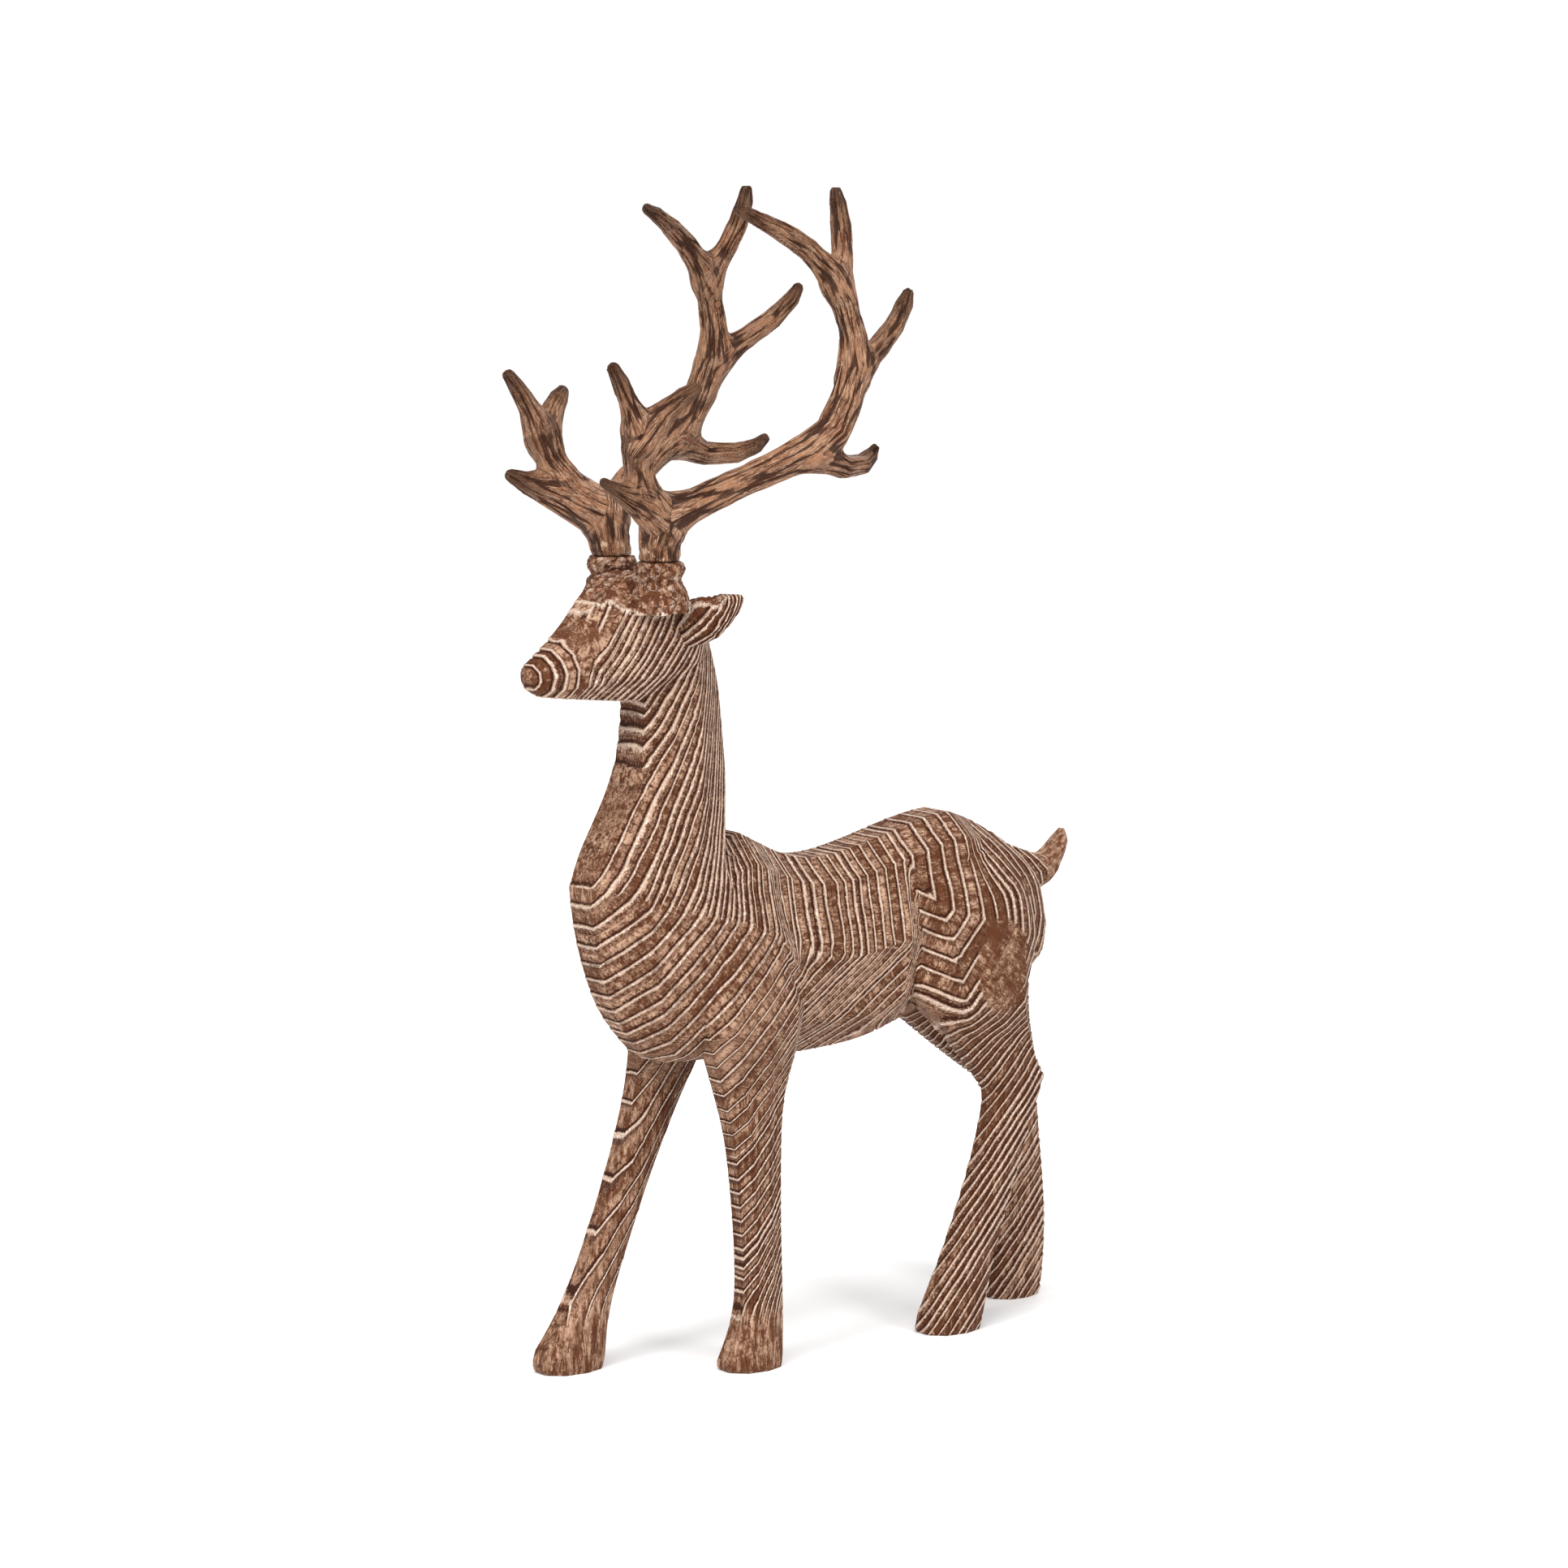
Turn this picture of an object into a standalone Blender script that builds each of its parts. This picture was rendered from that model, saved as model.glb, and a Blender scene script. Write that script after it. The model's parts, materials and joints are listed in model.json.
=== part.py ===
# Reindeer figurine: a cast body with the look of carved, ringed wood, and two moulded antlers
# whose feet sit in sockets in the burrs on the head. It faces -Y, its left side is +X, and it
# stands on the floor at z = 0. Metres, +Z up.
#
# The free form keeps its proportions as counts of PART, a 1440th of the height, as a sculptor's
# module would. The antlers' sockets and their clearances are real sizes of their own.

import math

import bmesh
import bpy
from mathutils import Matrix, Vector

# Driving dimensions
FIGURE_HEIGHT = 0.500  # floor to the highest antler tip
SOCKET_DEPTH = 0.0040  # how deep an antler's foot sits in its burr
FOOT_RADIUS = 0.0068  # the round foot of an antler
SEAT_CLEARANCE = 0.0003  # between a foot and its socket, at the side and below
BURR_WALL = 0.0016  # least wall of the burr around the socket
SHARP_ANGLE = math.radians(24)  # facets that meet at more than this keep a crisp edge

PARTS_IN_HEIGHT = 1440
PART = FIGURE_HEIGHT / PARTS_IN_HEIGHT

LEFT = 1
RIGHT = -1


# Cross-sections, as corners of the right-hand half from front (or bottom) to back (or top).
# The first number is a share of the half width, the second a share of the half depth.
NECK_CORNERS = ((0.50, -1.00), (0.93, -0.52), (1.00, 0.12), (0.74, 0.74), (0.28, 1.00))
CHEST_CORNERS = ((0.24, -1.00), (0.80, -0.56), (0.97, 0.10), (0.92, 0.62), (0.45, 1.00))
TRUNK_CORNERS = ((0.32, -1.00), (0.80, -0.66), (1.00, 0.00), (0.74, 0.76), (0.30, 1.00))
HEAD_CORNERS = ((0.38, -1.00), (0.90, -0.58), (1.00, 0.00), (0.84, 0.52), (0.44, 1.00))
LEG_CORNERS = ((0.38, -1.00), (0.90, -0.56), (1.00, 0.14), (0.72, 0.76), (0.30, 1.00))

# Trunk, chest to rump, in upright sections. Each row: y, middle z, half width, half height.
TRUNK = (
    (-196, 512, 76, 92),
    (-130, 514, 88, 122),
    (-90, 519, 88, 142),
    (-50, 509, 88, 131),
    (0, 500, 87, 121),
    (50, 500, 85, 119),
    (112, 510, 84, 122),
    (176, 530, 85, 119),
    (238, 545, 85, 114),
    (290, 542, 79, 95),
    (340, 529, 65, 79),
    (366, 517, 53, 70),
    (387, 505, 38, 56),
    (397, 500, 24, 37),
)

# Neck and chest, brisket to poll. Each row: y, z, half width, half depth, lean in degrees, and
# how far the section is that of the neck (1) or of the chest (0).
NECK = (
    (-156, 386, 34, 42, 0, 0.0),
    (-162, 400, 58, 62, 0, 0.0),
    (-170, 446, 80, 94, -2, 0.0),
    (-178, 490, 88, 106, -6, 0.0),
    (-186, 530, 92, 113, -11, 0.0),
    (-188, 570, 93, 119, -15, 0.0),
    (-188, 580, 92, 118, -15, 0.0),
    (-196, 640, 78, 88, -8, 0.4),
    (-172, 716, 61, 72, 2, 1.0),
    (-166, 784, 52, 61, 4, 1.0),
    (-168, 850, 50, 57, 0, 1.0),
    (-174, 912, 44, 48, -8, 1.0),
)

# Head, back of the skull to the nose. Each row: half width, then y and z of the jaw side, then y
# and z of the brow side.
HEAD = (
    (28, -128, 892, -138, 934),
    (50, -146, 866, -158, 950),
    (63, -180, 842, -190, 976),
    (64, -216, 833, -234, 984),
    (57, -250, 832, -273, 969),
    (44, -282, 835, -301, 940),
    (34, -312, 838, -329, 914),
    (26, -340, 840, -352, 896),
    (20, -361, 844, -374, 881),
    (13, -371, 850, -380, 872),
)

# Legs, from inside the trunk to the sole. Each row: x, y, z, half width, half depth.
FRONT_LEFT_LEG = (
    (42, -112, 636, 8, 28),
    (50, -112, 604, 20, 46),
    (55, -112, 570, 28, 56),
    (60, -110, 532, 34, 62),
    (62, -106, 490, 36, 67),
    (62, -98, 446, 37, 75),
    (62, -95, 392, 34, 62),
    (60, -95, 340, 30, 45),
    (60, -90, 288, 28, 36),
    (59, -84, 186, 26, 30),
    (59, -81, 96, 26, 29),
    (59, -84, 50, 28, 33),
    (59, -92, 20, 31, 41),
    (59, -94, 6, 32, 42),
    (59, -93, 0, 30, 39),
)
FRONT_RIGHT_LEG = (
    (42, -112, 636, 8, 28),
    (50, -113, 604, 20, 46),
    (55, -114, 570, 28, 56),
    (60, -116, 532, 34, 62),
    (62, -118, 490, 36, 67),
    (62, -122, 440, 37, 70),
    (61, -136, 384, 34, 48),
    (60, -158, 328, 30, 36),
    (60, -187, 255, 27, 29),
    (60, -216, 182, 26, 27),
    (61, -250, 96, 26, 29),
    (62, -266, 56, 28, 36),
    (63, -277, 28, 31, 45),
    (63, -280, 8, 32, 46),
    (63, -279, 0, 30, 42),
)
HIND_LEFT_LEG = (
    (46, 240, 624, 14, 50),
    (50, 241, 592, 28, 74),
    (56, 246, 546, 38, 91),
    (60, 248, 500, 38, 97),
    (62, 241, 440, 38, 89),
    (62, 266, 390, 36, 66),
    (61, 294, 342, 31, 50),
    (60, 314, 314, 29, 46),
    (58, 311, 284, 27, 36),
    (56, 292, 212, 26, 34),
    (55, 264, 138, 26, 34),
    (54, 242, 76, 28, 38),
    (53, 226, 32, 32, 44),
    (53, 220, 8, 33, 45),
    (53, 220, 0, 31, 41),
)
HIND_RIGHT_LEG = (
    (46, 240, 624, 14, 50),
    (50, 242, 592, 28, 74),
    (56, 248, 546, 38, 91),
    (60, 254, 500, 38, 95),
    (62, 254, 440, 38, 84),
    (62, 292, 390, 36, 66),
    (60, 340, 342, 31, 54),
    (58, 378, 308, 29, 47),
    (56, 402, 278, 27, 38),
    (55, 410, 207, 26, 36),
    (53, 418, 120, 26, 36),
    (51, 414, 60, 28, 37),
    (49, 406, 26, 31, 39),
    (49, 402, 8, 32, 40),
    (49, 401, 0, 30, 36),
)

# Ear and tail, swept along a path. Each row: x, y, z, half height or width, half thickness.
EAR = (
    (46, -186, 920, 26, 20),
    (64, -180, 925, 28, 18),
    (82, -172, 932, 27, 15),
    (98, -160, 943, 20, 12),
    (109, -151, 952, 12, 9),
    (114, -147, 957, 6, 5),
)
TAIL = (
    (0, 352, 574, 30, 30),
    (0, 384, 566, 26, 26),
    (0, 410, 570, 21, 21),
    (0, 428, 586, 17, 16),
    (0, 438, 604, 13, 11),
    (0, 441, 614, 7, 6),
)

# Antler, as the left one. Each row of a path: x, y, z, radius.
FOOT = (51, -220, 1000)
STEM_RADIUS = 25
BEAM = (
    (53, -222, 1026, 24),
    (64, -218, 1056, 26),
    (80, -188, 1069, 20),
    (103, -154, 1089, 18.5),
    (125, -112, 1109, 19),
    (143, -69, 1131, 20.5),
    (152, -38, 1154, 21),
    (150, -18, 1187, 20),
    (147, -4, 1226, 19),
    (144, -3, 1264, 16.5),
    (140, -12, 1304, 15.5),
    (134, -29, 1340, 15),
    (126, -56, 1368, 14),
    (114, -87, 1390, 12),
    (103, -118, 1407, 9),
    (98, -134, 1414, 6.5),
)
REAR_TINE = (
    (144, -56, 1123, 17),
    (144, -18, 1110, 14.5),
    (130, 20, 1110, 12.5),
    (118, 43, 1119, 9.5),
    (114, 52, 1127, 6.5),
)
UPPER_REAR_TINE = (
    (145, 2, 1221, 15),
    (140, 36, 1248, 13.5),
    (125, 73, 1275, 12.5),
    (116, 95, 1299, 10),
    (113, 103, 1313, 7),
)
CROWN_TINE = (
    (134, -18, 1326, 14),
    (122, -2, 1360, 13),
    (106, 7, 1394, 12.5),
    (96, 10, 1421, 10.5),
    (92, 10, 1435, 7.5),
)
BROW_BEAM = (
    (62, -222, 1046, 21),
    (75, -258, 1086, 18),
    (90, -278, 1124, 17),
    (102, -283, 1156, 17),
    (104, -282, 1166, 13),
)
FRONT_BROW_TINE = ((102, -281, 1148, 16), (105, -297, 1188, 13), (107, -313, 1218, 10), (108, -323, 1234, 8))
REAR_BROW_TINE = ((104, -281, 1146, 17), (118, -260, 1180, 15), (132, -242, 1199, 12), (140, -231, 1209, 8))
LOWER_BROW_TINE = ((68, -236, 1056, 19), (82, -275, 1076, 15), (90, -305, 1089, 10.5), (95, -328, 1101, 6))
BROW_ROOT = (62, -224, 1046)
AS_DRAWN = (1.0, 1.0, 1.0, 1.0)
RIGHT_FORK_SHARES = (1.0, 1.05, 0.91, 1.0)  # the right antler's brow fork came out lower, further forward
RIGHT_LOWER_SHARES = (1.1, 1.04, 0.96, 1.4)  # and its lowest tine thicker

# Burr under an antler, a turned profile. Each row: how far it stands out from the socket's own
# wall, and its height above BURR_FOOT_Z. The last row is level with FOOT.
BURR_FOOT_Z = 940
BURR_PROFILE = ((13, 0), (9, 18), (4, 32), (1, 38), (3, 44), (3.5, 51), (2, 57), (1, 60))

ANTLER_SIDES = 10
BURR_SIDES = 20
EAR_SIDES = 8
TAIL_SIDES = 10
STEPS_PER_SPAN = 2  # rings between two rows of a smooth path


def clear_scene():
    for old in list(bpy.data.objects):
        bpy.data.objects.remove(old)


def make_material(name, colour, roughness):
    material = bpy.data.materials.new(name)
    material.use_nodes = True
    shader = material.node_tree.nodes["Principled BSDF"]
    shader.inputs["Base Color"].default_value = (*colour, 1.0)
    shader.inputs["Roughness"].default_value = roughness
    shader.inputs["Metallic"].default_value = 0.0
    return material


def skin_rings(name, rings):
    """A closed mesh through rings of equally many corners, with a flat cap at each end."""
    mesh = bmesh.new()
    loops = [[mesh.verts.new(corner) for corner in ring] for ring in rings]
    sides = len(rings[0])
    for lower, upper in zip(loops, loops[1:]):
        for i in range(sides):
            j = (i + 1) % sides
            mesh.faces.new((lower[i], lower[j], upper[j], upper[i]))
    mesh.faces.new(reversed(loops[0]))
    mesh.faces.new(loops[-1])
    bmesh.ops.recalc_face_normals(mesh, faces=mesh.faces)
    data = bpy.data.meshes.new(name)
    mesh.to_mesh(data)
    mesh.free()
    made = bpy.data.objects.new(name, data)
    bpy.context.scene.collection.objects.link(made)
    return made


def section(centre, half_width, depth, corners):
    """A ring across the body: its width runs along X, its half depth is the vector depth."""
    whole = list(corners) + [(-across, share) for across, share in reversed(corners)]
    ring = []
    for across, share in whole:
        ring.append((Vector(centre) + Vector((across * half_width, 0, 0)) + share * Vector(depth)) * PART)
    return ring


def loft_trunk():
    rings = []
    for y, z, width, height in smooth_path(TRUNK):
        rings.append(section((0, y, z), width, (0, 0, height), TRUNK_CORNERS))
    return skin_rings("deer_body", rings)


def loft_neck():
    rings = []
    for y, z, width, depth, lean, neck in smooth_path(NECK):
        corners = [
            (neck * a + (1 - neck) * c, neck * b + (1 - neck) * d)
            for (a, b), (c, d) in zip(NECK_CORNERS, CHEST_CORNERS)
        ]
        lean = math.radians(lean)
        rings.append(section((0, y, z), width, (0, depth * math.cos(lean), depth * math.sin(lean)), corners))
    return skin_rings("neck", rings)


def loft_head():
    rings = []
    for width, jaw_y, jaw_z, brow_y, brow_z in smooth_path(HEAD):
        jaw = Vector((0, jaw_y, jaw_z))
        brow = Vector((0, brow_y, brow_z))
        rings.append(section((jaw + brow) / 2, width, (brow - jaw) / 2, HEAD_CORNERS))
    return skin_rings("head", rings)


def loft_leg(name, rows, side):
    rings = []
    for x, y, z, width, depth in smooth_path(rows):
        rings.append(section((side * x, y, z), width, (0, depth, 0), LEG_CORNERS))
    return skin_rings(name, rings)


def smooth_path(rows):
    """Rows between the given ones, on a Catmull-Rom curve through all their numbers."""
    rows = [Vector(row) for row in rows]
    rows = [rows[0] * 2 - rows[1]] + rows + [rows[-1] * 2 - rows[-2]]
    out = []
    for before, start, end, after in zip(rows, rows[1:], rows[2:], rows[3:]):
        for step in range(STEPS_PER_SPAN):
            t = step / STEPS_PER_SPAN
            out.append(
                0.5
                * (
                    2 * start
                    + (end - before) * t
                    + (2 * before - 5 * start + 4 * end - after) * t**2
                    + (3 * start - before - 3 * end + after) * t**3
                )
            )
    return out + [rows[-2]]


def sweep(name, points, wide, thin, sides, facing=Vector((0, 0, 1)), level_start=False):
    """A tube of elliptical rings along points. wide lies across the path in the plane of facing."""
    rings = []
    for i, point in enumerate(points):
        tangent = points[min(i + 1, len(points) - 1)] - points[max(i - 1, 0)]
        if level_start and i < 3:
            tangent = Vector((0, 0, 1))
        tangent.normalize()
        first = (facing - tangent * facing.dot(tangent)).normalized()
        second = tangent.cross(first)
        rings.append(
            [
                point
                + first * (wide[i] * math.cos(2 * math.pi * k / sides))
                + second * (thin[i] * math.sin(2 * math.pi * k / sides))
                for k in range(sides)
            ]
        )
    return skin_rings(name, rings)


def rounded_end(points, wide, thin):
    """Adds a small ring past the last one, so that a tip is blunt and not a flat disc."""
    out = (points[-1] - points[-2]).normalized()
    points.append(points[-1] + out * (0.62 * min(wide[-1], thin[-1])))
    wide.append(0.55 * wide[-1])
    thin.append(0.55 * thin[-1])


def sweep_rows(name, rows, sides, side=LEFT, facing=Vector((0, 0, 1))):
    """A swept limb from rows of x, y, z, half size and, for an oval one, half thickness."""
    dense = smooth_path(rows)
    points = [Vector((side * row[0], row[1], row[2])) * PART for row in dense]
    wide = [row[3] * PART for row in dense]
    thin = [row[-1] * PART for row in dense]
    rounded_end(points, wide, thin)
    return sweep(name, points, wide, thin, sides, facing)


def boolean(base, tool, operation):
    """Joins tool to base or cuts it away, and removes tool."""
    modifier = base.modifiers.new(operation.lower(), "BOOLEAN")
    modifier.operation = operation
    modifier.solver = "EXACT"
    modifier.object = tool
    bpy.context.view_layer.update()
    baked = bpy.data.meshes.new_from_object(base.evaluated_get(bpy.context.evaluated_depsgraph_get()))
    base.modifiers.clear()
    old = base.data
    base.data = baked
    bpy.data.meshes.remove(old)
    bpy.data.objects.remove(tool)


def turned(name, profile, centre, sides):
    """A solid of revolution about a vertical axis, from rows of radius and height in metres."""
    turns = [2 * math.pi * k / sides for k in range(sides)]
    rings = []
    for radius, height in profile:
        rings.append([centre + Vector((radius * math.cos(t), radius * math.sin(t), height)) for t in turns])
    return skin_rings(name, rings)


def burr(side):
    """The ringed knob on the head that an antler's foot sits in."""
    wall = FOOT_RADIUS + SEAT_CLEARANCE + BURR_WALL
    profile = [(wall + out * PART, height * PART) for out, height in BURR_PROFILE]
    centre = Vector((side * FOOT[0], FOOT[1], BURR_FOOT_Z)) * PART
    return turned("burr", profile, centre, BURR_SIDES)


def socket(side):
    centre = Vector((side * FOOT[0], FOOT[1], FOOT[2])) * PART
    radius = FOOT_RADIUS + SEAT_CLEARANCE
    profile = ((radius, -SOCKET_DEPTH - SEAT_CLEARANCE), (radius, 2 * SOCKET_DEPTH))
    return turned("socket", profile, centre, BURR_SIDES)


def make_body(material):
    body = loft_trunk()
    pieces = [loft_neck(), loft_head()]
    for rows, side in (
        (FRONT_LEFT_LEG, LEFT),
        (FRONT_RIGHT_LEG, RIGHT),
        (HIND_LEFT_LEG, LEFT),
        (HIND_RIGHT_LEG, RIGHT),
    ):
        pieces.append(loft_leg("leg", rows, side))
    for side in (LEFT, RIGHT):
        pieces.append(sweep_rows("ear", EAR, EAR_SIDES, side))
        pieces.append(burr(side))
    pieces.append(sweep_rows("tail", TAIL, TAIL_SIDES, facing=Vector((1, 0, 0))))
    for piece in pieces:
        boolean(body, piece, "UNION")
    for side in (LEFT, RIGHT):
        boolean(body, socket(side), "DIFFERENCE")
    body.data.materials.clear()
    body.data.materials.append(material)
    return body


def stretched(rows, shares):
    """Limb rows drawn out or in from the root of the brow beam, by shares along X, Y, Z and of size."""
    root = (*BROW_ROOT, 0)
    return [[start + (value - start) * share for value, start, share in zip(row, root, shares)] for row in rows]


def antler_beam(side):
    """The main beam. It starts as a round foot in the socket, and widens just over the burr."""
    foot = Vector(FOOT)
    bottom = foot - Vector((0, 0, SOCKET_DEPTH / PART))
    shoulder = foot + Vector((0, 0, SEAT_CLEARANCE / PART))
    dense = smooth_path([(*shoulder, STEM_RADIUS), *BEAM])
    points = [bottom, shoulder] + [Vector(row[:3]) for row in dense]
    radii = [FOOT_RADIUS / PART] * 2 + [row[3] for row in dense]
    points = [Vector((side * point.x, point.y, point.z)) * PART for point in points]
    wide = [radius * PART for radius in radii]
    thin = list(wide)
    rounded_end(points, wide, thin)
    return sweep("beam", points, wide, thin, ANTLER_SIDES, facing=Vector((0, -1, 0.01)), level_start=True)


def make_antler(name, side, material):
    antler = antler_beam(side)
    antler.name = name
    fork_shares = RIGHT_FORK_SHARES if side == RIGHT else AS_DRAWN
    lower_shares = RIGHT_LOWER_SHARES if side == RIGHT else AS_DRAWN
    tines = [REAR_TINE, UPPER_REAR_TINE, CROWN_TINE, stretched(LOWER_BROW_TINE, lower_shares)]
    for rows in (BROW_BEAM, FRONT_BROW_TINE, REAR_BROW_TINE):
        tines.append(stretched(rows, fork_shares))
    for rows in tines:
        boolean(antler, sweep_rows("tine", rows, ANTLER_SIDES, side, facing=Vector((1, 0.02, 0.01))), "UNION")
    antler.data.materials.clear()
    antler.data.materials.append(material)
    return antler


def centre_on_floor(objects):
    """Puts the middle of the figure's box over the origin, with the soles on the floor."""
    corners = [vertex.co for item in objects for vertex in item.data.vertices]
    low = Vector([min(corner[axis] for corner in corners) for axis in range(3)])
    high = Vector([max(corner[axis] for corner in corners) for axis in range(3)])
    shift = Matrix.Translation((-(low.x + high.x) / 2, -(low.y + high.y) / 2, -low.z))
    for item in objects:
        item.data.transform(shift)


def finish(item):
    item.data.shade_smooth()
    item.data.set_sharp_from_angle(angle=SHARP_ANGLE)


def main():
    clear_scene()
    ringed_resin = make_material("ringed_resin", (0.46, 0.30, 0.21), 0.55)
    antler_plastic = make_material("antler_plastic", (0.36, 0.22, 0.14), 0.48)
    objects = [
        make_body(ringed_resin),
        make_antler("left_antler", LEFT, antler_plastic),
        make_antler("right_antler", RIGHT, antler_plastic),
    ]
    centre_on_floor(objects)
    for item in objects:
        finish(item)


main()
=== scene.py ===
import json
import math

import bmesh
import bpy
import numpy as np
from mathutils import Matrix, Vector, kdtree, noise

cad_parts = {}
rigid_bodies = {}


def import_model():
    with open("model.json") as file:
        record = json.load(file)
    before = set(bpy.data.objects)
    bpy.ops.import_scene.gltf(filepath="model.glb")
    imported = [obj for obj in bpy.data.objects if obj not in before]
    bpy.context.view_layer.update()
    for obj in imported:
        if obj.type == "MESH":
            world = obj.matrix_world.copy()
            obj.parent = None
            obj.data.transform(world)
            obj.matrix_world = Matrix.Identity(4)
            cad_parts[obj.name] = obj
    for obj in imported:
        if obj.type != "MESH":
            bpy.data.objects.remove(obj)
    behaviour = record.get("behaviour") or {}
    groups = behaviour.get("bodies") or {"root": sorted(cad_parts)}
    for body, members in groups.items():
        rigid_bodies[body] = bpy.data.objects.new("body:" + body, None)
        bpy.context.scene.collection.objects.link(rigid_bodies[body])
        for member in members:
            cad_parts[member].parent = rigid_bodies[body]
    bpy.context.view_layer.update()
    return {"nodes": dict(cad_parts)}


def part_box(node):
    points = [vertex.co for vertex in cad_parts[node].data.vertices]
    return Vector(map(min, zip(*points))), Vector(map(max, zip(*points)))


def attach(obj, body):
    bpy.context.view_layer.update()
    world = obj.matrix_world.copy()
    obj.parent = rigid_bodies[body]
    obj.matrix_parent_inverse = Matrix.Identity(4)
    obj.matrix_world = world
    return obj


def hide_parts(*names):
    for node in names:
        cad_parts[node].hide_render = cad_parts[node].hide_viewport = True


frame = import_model()

part = 0.5 / 1440  # the figure's own module: everything below in counts of it lies in the drawing frame
drawingShift = np.array((0.0, -37.0, 0.0))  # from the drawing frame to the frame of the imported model


def toMetres(points):
    return (np.asarray(points, float) + drawingShift) * part


def toParts(points):
    return np.asarray(points, float) / part - drawingShift


view = {
    "azimuth": 36.0,  # of the camera from the figure's left side towards its nose
    "pitch": 7.7447,
    "distance": 6000.0,
    "aim": (0.0, 0.0, 709.87),
    "lens": 111.801,
}


def addCamera():
    turn, tilt = math.radians(view["azimuth"]), math.radians(view["pitch"])
    back = Vector((math.cos(tilt) * math.cos(turn), -math.cos(tilt) * math.sin(turn), math.sin(tilt)))
    right = Vector((math.sin(turn), math.cos(turn), 0.0))
    up = back.cross(right)
    eye = toMetres(np.array(view["aim"]) + np.array(back) * view["distance"])
    data = bpy.data.cameras.new("photoCamera")
    data.lens = view["lens"]
    data.sensor_width = 36.0
    data.clip_end = 50.0
    camera = bpy.data.objects.new("photoCamera", data)
    bpy.context.collection.objects.link(camera)
    camera.matrix_world = Matrix((
        (right.x, up.x, back.x, eye[0]),
        (right.y, up.y, back.y, eye[1]),
        (right.z, up.z, back.z, eye[2]),
        (0.0, 0.0, 0.0, 1.0),
    ))
    bpy.context.scene.camera = camera


studio = {
    "floorRadius": 30.0,
    "floorColour": (0.93, 0.93, 0.93),
    "worldLight": 0.40,
    "skyLamp": ((0.26, -0.22, 0.92), 2.5, 50.0),  # direction towards it, strength, softness in degrees
    "middle": (0.0, 0.0, 0.24),  # what the lamps shine at
    # name: (direction towards the lamp, distance, side, power, colour)
    "lamps": {
        "keyLamp": ((0.25, -0.85, 0.60), 1.7, 0.5, 11.5, (1.0, 0.99, 0.97)),
        "sideLamp": ((1.0, 0.15, 0.45), 1.8, 0.6, 10.0, (1.0, 1.0, 1.0)),
        "backLamp": ((-0.7, 0.9, 0.6), 2.0, 0.9, 10.0, (1.0, 1.0, 1.0)),
    },
}


def addLamp(name, kind, towards, power):
    data = bpy.data.lights.new(name, kind)
    data.energy = power
    lamp = bpy.data.objects.new(name, data)
    bpy.context.collection.objects.link(lamp)
    lamp.rotation_euler = Vector(towards).to_track_quat("Z", "Y").to_euler()
    return lamp


def addStudio():
    bpy.ops.object.select_all(action="DESELECT")
    bpy.ops.mesh.primitive_circle_add(vertices=96, radius=studio["floorRadius"], fill_type="NGON",
                                      location=(0, 0, 0))
    floor = bpy.context.active_object
    floor.name = "studioFloor"
    paint = bpy.data.materials.new("paleFloor")
    paint.use_nodes = True
    shader = paint.node_tree.nodes["Principled BSDF"]
    shader.inputs["Base Color"].default_value = (*studio["floorColour"], 1.0)
    shader.inputs["Roughness"].default_value = 0.9
    shader.inputs["Specular IOR Level"].default_value = 0.1
    floor.data.materials.append(paint)

    world = bpy.data.worlds.new("studioWorld")
    bpy.context.scene.world = world
    world.use_nodes = True
    tree = world.node_tree
    tree.nodes.clear()
    path = tree.nodes.new("ShaderNodeLightPath")
    strength = tree.nodes.new("ShaderNodeMapRange")
    strength.inputs["To Min"].default_value = studio["worldLight"]
    strength.inputs["To Max"].default_value = 1.02
    glow = tree.nodes.new("ShaderNodeBackground")
    glow.inputs["Color"].default_value = (1.0, 1.0, 1.0, 1.0)
    out = tree.nodes.new("ShaderNodeOutputWorld")
    tree.links.new(path.outputs["Is Camera Ray"], strength.inputs["Value"])
    tree.links.new(strength.outputs["Result"], glow.inputs["Strength"])
    tree.links.new(glow.outputs["Background"], out.inputs["Surface"])

    towards, strength, softness = studio["skyLamp"]
    addLamp("skyLamp", "SUN", towards, strength).data.angle = math.radians(softness)
    for name, (towards, away, side, power, colour) in studio["lamps"].items():
        lamp = addLamp(name, "AREA", towards, power)
        lamp.location = Vector(studio["middle"]) + Vector(towards).normalized() * away
        lamp.data.shape = "DISK"
        lamp.data.size = side
        lamp.data.color = colour
    bpy.context.scene.view_settings.view_transform = "Standard"
    bpy.context.scene.view_settings.look = "None"


addCamera()
addStudio()
print("camera, floor and lamps are up")


def addNode(tree, kind, **values):
    node = tree.nodes.new(kind)
    column, row = divmod(len(tree.nodes), 9)
    node.location = (column * 200, row * -180)
    for name, value in values.items():
        if hasattr(node, name):
            setattr(node, name, value)
        else:
            node.inputs[name.replace("_", " ")].default_value = value
    return node


def treeOf(*values):
    return next(value.id_data for value in values if isinstance(value, bpy.types.NodeSocket))


def mixColour(factor, first, second):
    tree = treeOf(factor, first, second)
    node = addNode(tree, "ShaderNodeMix", data_type="RGBA")
    for socket, value in ((node.inputs[0], factor), (node.inputs[6], first), (node.inputs[7], second)):
        if isinstance(value, bpy.types.NodeSocket):
            tree.links.new(value, socket)
        else:
            socket.default_value = (*value, 1.0) if isinstance(value, tuple) else value
    return node.outputs[2]


def calc(operation, first, second=0.0, third=0.0, clamp=False):
    tree = treeOf(first, second, third)
    node = addNode(tree, "ShaderNodeMath", operation=operation, use_clamp=clamp)
    for socket, value in zip(node.inputs, (first, second, third)):
        if isinstance(value, bpy.types.NodeSocket):
            tree.links.new(value, socket)
        else:
            socket.default_value = value
    return node.outputs[0]


def times(first, second):
    return calc("MULTIPLY", first, second)


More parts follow.
